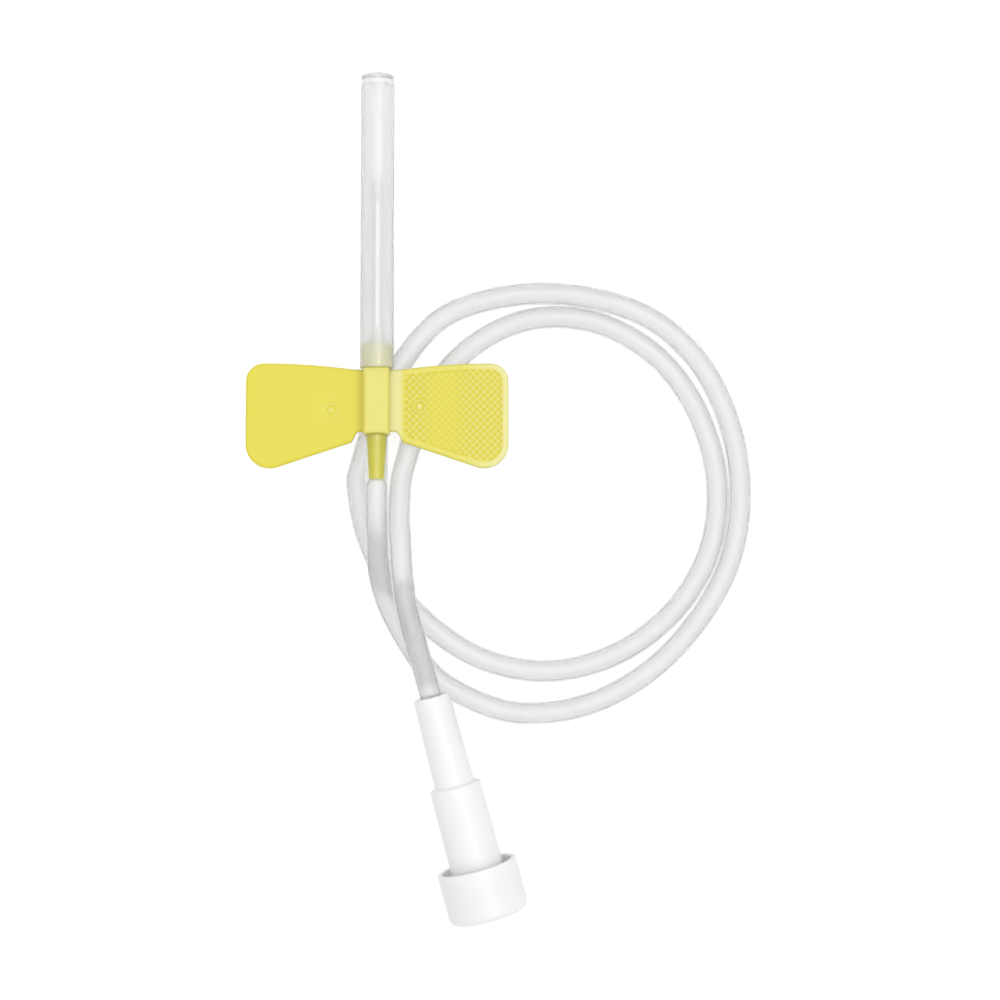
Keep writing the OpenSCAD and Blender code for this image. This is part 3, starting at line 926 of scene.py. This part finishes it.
def lathe(name, profile, place, sides=LATHE_SIDES, smooth_below=32, second=range(0)):
    """A turned shape from a closed list of (radius, along). place puts (x, z, along) where it goes."""
    angles = [a + math.pi / sides for a in circle(sides)]
    rings = [
        [place(radius * math.sin(a), radius * math.cos(a), along) for a in angles]
        for radius, along in profile
    ]
    return skin(name, rings, smooth_below=smooth_below, second=second)


def on_the_needle(x, z, along):
    """As at_needle, with the place along it last."""
    return at_needle(x, along, z)


def white_glue():
    material, nodes, links, shader = finish_of(
        "white_glue", colour=(0.90, 0.90, 0.88), roughness=0.25, Coat_Weight=0.3
    )
    fine_waves(nodes, links, shader, scale=1500.0, height=0.00003)
    return material


def make_glue():
    nose_end = BLOCK_L / 2 + NOSE_L
    hole = NEEDLE_OD / 2 + GLUE_GAP
    foot = (BOND_D / 2, 0)
    waist = (NEEDLE_OD / 2 + BOND_WAIST_T, BOND_L * BOND_WAIST)
    tip = (hole + BOND_TIP_T, BOND_L)
    profile = [(NEEDLE_OD / 2, nose_end)]
    for i in range(BOND_STEPS + 1):
        t = i / BOND_STEPS
        radius, along = [
            (1 - t) ** 2 * a + 2 * t * (1 - t) * b + t * t * c for a, b, c in zip(foot, waist, tip)
        ]
        profile.append((radius, nose_end + along))
    profile.append((NEEDLE_OD / 2, nose_end + BOND_L))
    glue = lathe("glue_cone", profile, on_the_needle)
    glue.data.materials.append(white_glue())
    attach(glue, "hub_and_tube")
    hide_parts("needle_bond")


make_glue()


# Sheath
# A milky polyethylene tube with a closed end, glossy outside and matt inside. It is pushed on the
# hub's nose, which shows through its wall, as the needle does faintly.
SHEATH_L = 33.0
SHEATH_GAP = 0.05
MOUTH_GAP = 0.05
SHEATH_WALL = 0.5
SHEATH_END = 1.0
SHEATH_EDGE = 0.3
SHEATH_LIP = 0.06
FLOOR_ROUND = 0.3
# The flat ends are split at this radius
END_RING_R = 0.7


def quarter(centre, radius, start, steps=6):
    """Points of a quarter turn, start in degrees, as (radius, along)."""
    return [
        (
            centre[0] + radius * math.cos(math.radians(start + 90 * i / steps)),
            centre[1] + radius * math.sin(math.radians(start + 90 * i / steps)),
        )
        for i in range(steps + 1)
    ]


def milky_polyethylene():
    material, nodes, links, shader = finish_of(
        "milky_polyethylene", colour=(0.99, 0.99, 0.99), roughness=0.22, IOR=1.42,
        Transmission_Weight=0.72, Coat_Weight=0.35, Coat_Roughness=0.05
    )
    fine_waves(nodes, links, shader, scale=500.0, height=0.00001, stretch=(1, 0.1, 1))
    return material


def make_sheath():
    bore = NOSE_D / 2 + SHEATH_GAP
    outside = bore + SHEATH_WALL
    mouth = BLOCK_L / 2 + MOUTH_GAP
    tip = mouth + SHEATH_L
    floor = tip - SHEATH_END
    profile = [(bore, mouth + SHEATH_LIP), (bore + SHEATH_LIP, mouth)]
    profile += [(outside - SHEATH_LIP, mouth), (outside, mouth + SHEATH_LIP)]
    profile += [(outside, mouth + (SHEATH_L - SHEATH_EDGE) * share) for share in (0.2, 0.4, 0.6, 0.8)]
    profile += quarter((outside - SHEATH_EDGE, tip - SHEATH_EDGE), SHEATH_EDGE, 0)
    profile += [(END_RING_R, tip), (0.0, tip)]
    bore_start = len(profile)
    profile += [(0.0, floor), (END_RING_R, floor)]
    profile += quarter((bore - FLOOR_ROUND, floor - FLOOR_ROUND), FLOOR_ROUND, 0)[::-1]
    profile += [(bore, mouth + SHEATH_L * share) for share in (0.8, 0.6, 0.4, 0.2)]
    sheath = lathe("sheath_tube", profile, on_the_needle, second=range(bore_start, len(profile)))
    sheath.data.materials.append(milky_polyethylene())
    sheath.data.materials.append(matt_bore(
        "sheath_bore", low=(0.98, 0.98, 0.98), high=(0.99, 0.99, 0.99), roughness=0.8, transmission=0.85
    ))
    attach(sheath, "sheath")
    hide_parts("needle_sheath")


make_sheath()


# Luer connector
# A white polypropylene moulding that the tube is glued into, with a stepped barrel,
# a 6 percent luer socket and two locking lugs at its mouth.
CONNECTOR_L = 24.0
SOCKET_GAP = 0.02
SLIM_START_D = 4.1
SLIM_END_D = 4.5
SLIM_L = 10.2
WIDE_START_D = 5.75
WIDE_END_D = 5.95
BARREL_ROUND = 0.25
STEP_FILLET = 0.3
LUER_MOUTH_D = 4.28
LUER_DEPTH = 8.0
LUER_TAPER = 0.03
MOUTH_CHAMFER = 0.1
LUG_D = 7.7
LUG_T = 1.2
LUG_W = 2.6
# The lug's root is sunk in the barrel, and its outer edges are broken, the leading one more
LUG_SINK = 0.15
LUG_BACK_EDGE = 0.12
LUG_FRONT_EDGE = 0.25
LUG_STEPS = 10


def white_polypropylene():
    material, nodes, links, shader = finish_of(
        "white_polypropylene", colour=(0.885, 0.885, 0.885), roughness=0.32,
        Subsurface_Weight=0.3, Subsurface_Scale=0.0008
    )
    shader.inputs["Subsurface Radius"].default_value = (1.0, 1.0, 1.0)
    fine_waves(nodes, links, shader, scale=500.0, height=0.00001, stretch=(1, 0.15, 1))
    return material


def make_connector():
    socket_r = TUBE_OD / 2 + SOCKET_GAP
    bore_r = TUBE_BORE / 2
    mouth_r = LUER_MOUTH_D / 2
    luer_end_r = mouth_r - LUER_TAPER * LUER_DEPTH
    rounding = BARREL_ROUND
    chamfer = MOUTH_CHAMFER
    profile = [(socket_r, chamfer), (socket_r + chamfer, 0)]
    profile += quarter((SLIM_START_D / 2 - rounding, rounding), rounding, -90)
    profile += [
        (SLIM_START_D / 2 + (SLIM_END_D - SLIM_START_D) / 2 * t, SLIM_L * t) for t in (0.25, 0.5, 0.75)
    ]
    fillet_centre = (SLIM_END_D / 2 + STEP_FILLET, SLIM_L - STEP_FILLET)
    profile += quarter(fillet_centre, STEP_FILLET, 90)[::-1]
    profile += quarter((WIDE_START_D / 2 - rounding, SLIM_L + rounding), rounding, -90)
    profile += [
        (WIDE_START_D / 2 + (WIDE_END_D - WIDE_START_D) / 2 * t, SLIM_L + (CONNECTOR_L - SLIM_L) * t)
        for t in (0.25, 0.5, 0.75)
    ]
    profile += [(WIDE_END_D / 2, CONNECTOR_L - chamfer), (WIDE_END_D / 2 - chamfer, CONNECTOR_L)]
    profile += [(mouth_r + chamfer, CONNECTOR_L), (mouth_r - LUER_TAPER * chamfer, CONNECTOR_L - chamfer)]
    profile += [(luer_end_r, CONNECTOR_L - LUER_DEPTH), (bore_r, CONNECTOR_L - LUER_DEPTH)]
    profile += [(bore_r, SOCKET_L), (socket_r, SOCKET_L)]
    connector = lathe("connector_barrel", profile, at_connector)
    connector.data.materials.append(white)
    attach(connector, "hub_and_tube")
    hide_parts("luer_connector")
    return connector


def make_lug(name, side):
    """A locking lug, which the thread of a syringe's or cap's collar pulls on."""
    half = math.asin(LUG_W / LUG_D)
    root_r = WIDE_END_D / 2 - LUG_SINK
    tip_r = LUG_D / 2
    back, front = CONNECTOR_L - LUG_T, CONNECTOR_L
    rings = []
    for i in range(LUG_STEPS + 1):
        angle = side * math.pi / 2 - half + 2 * half * i / LUG_STEPS
        s, c = math.sin(angle), math.cos(angle)
        corners = [
            (root_r, back), (tip_r - LUG_BACK_EDGE, back), (tip_r, back + LUG_BACK_EDGE),
            (tip_r, front - LUG_FRONT_EDGE), (tip_r - LUG_FRONT_EDGE, front), (root_r, front),
        ]
        rings.append([at_connector(radius * s, radius * c, along) for radius, along in corners])
    lug = skin(name, rings, loop=False)
    close_ends(lug)
    lug.data.materials.append(white)
    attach(lug, "hub_and_tube")
    return lug


white = white_polypropylene()
connector = make_connector()
lugs = [make_lug("lug_left", -1), make_lug("lug_right", 1)]


# Luer cap
# A white polypropylene cap: a collar that screws over the lugs with a thread inside,
# a closed round end, and a cone that plugs the luer socket.
CAP_OD = 9.0
CAP_WALL = 0.55
CAP_L = 5.8
CAP_END = 1.1
CAP_EDGE = 0.9
CAP_GAP = 0.1
RIM_ROUND = 0.15
PLUG_L = 6.5
PLUG_GAP = 0.03
PLUG_TIP_EDGE = 0.25
CAP_FLOOR_EDGE = 0.2
# The flat end is split at this radius
CAP_RING_R = 1.4
CAP_SIDES = 96
THREAD_PITCH = 2.5
THREAD_H = 0.3
THREAD_W = 0.7
THREAD_CREST_W = 0.28
THREAD_TURNS = 1.1
THREAD_STEPS = 48
# The thread starts this far in from the rim, is sunk this far in the wall, and has a low start and end
THREAD_START = 0.6
THREAD_SINK = 0.1
THREAD_LEAST_H = 0.02
THREAD_RUN_IN = 0.06


def make_cap():
    rim = CONNECTOR_L + CAP_GAP + CAP_END - CAP_L
    inner = CAP_OD / 2 - CAP_WALL
    outer = CAP_OD / 2
    floor = CAP_L - CAP_END
    plug_root_r = LUER_MOUTH_D / 2 - PLUG_GAP + LUER_TAPER * CAP_GAP
    plug_tip_r = plug_root_r - LUER_TAPER * PLUG_L
    tip = floor - PLUG_L
    profile = [(inner, floor - CAP_FLOOR_EDGE), (inner, RIM_ROUND)]
    profile += quarter((inner + RIM_ROUND, RIM_ROUND), RIM_ROUND, 180, steps=4)
    profile += quarter((outer - RIM_ROUND, RIM_ROUND), RIM_ROUND, 270, steps=4)
    profile += [(outer, floor * 0.5)]
    profile += quarter((outer - CAP_EDGE, CAP_L - CAP_EDGE), CAP_EDGE, 0, steps=10)
    profile += [(CAP_RING_R, CAP_L), (0.0, CAP_L)]
    profile += [(0.0, tip), (plug_tip_r - PLUG_TIP_EDGE, tip), (plug_tip_r, tip + PLUG_TIP_EDGE)]
    profile += [(plug_root_r, floor), (inner - CAP_FLOOR_EDGE, floor)]
    profile = [(radius, rim + along) for radius, along in profile]
    cap = lathe("cap_moulding", profile, at_connector, sides=CAP_SIDES)
    cap.data.materials.append(white)
    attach(cap, "cap")
    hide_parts("luer_cap")
    return cap


def make_thread(name, start_angle):
    """One of the two thread starts inside the cap's collar."""
    rim = CONNECTOR_L + CAP_GAP + CAP_END - CAP_L
    wall = CAP_OD / 2 - CAP_WALL
    rings = []
    for i in range(THREAD_STEPS + 1):
        t = i / THREAD_STEPS
        angle = start_angle + 2 * math.pi * THREAD_TURNS * t
        along = rim + THREAD_START + THREAD_PITCH * THREAD_TURNS * t
        run_in = ease(t, 0, THREAD_RUN_IN)
        run_out = 1 - ease(t, 1 - THREAD_RUN_IN, 1)
        crest = wall - (THREAD_H * run_in * run_out + THREAD_LEAST_H)
        s, c = math.sin(angle), math.cos(angle)
        corners = [
            (wall + THREAD_SINK, along - THREAD_W / 2), (crest, along - THREAD_CREST_W / 2),
            (crest, along + THREAD_CREST_W / 2), (wall + THREAD_SINK, along + THREAD_W / 2),
        ]
        rings.append([at_connector(radius * s, radius * c, height) for radius, height in corners])
    thread = skin(name, rings, loop=False)
    close_ends(thread)
    thread.data.materials.append(white)
    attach(thread, "cap")
    return thread


cap = make_cap()
threads = [make_thread("cap_thread_one", 0.0), make_thread("cap_thread_two", math.pi)]
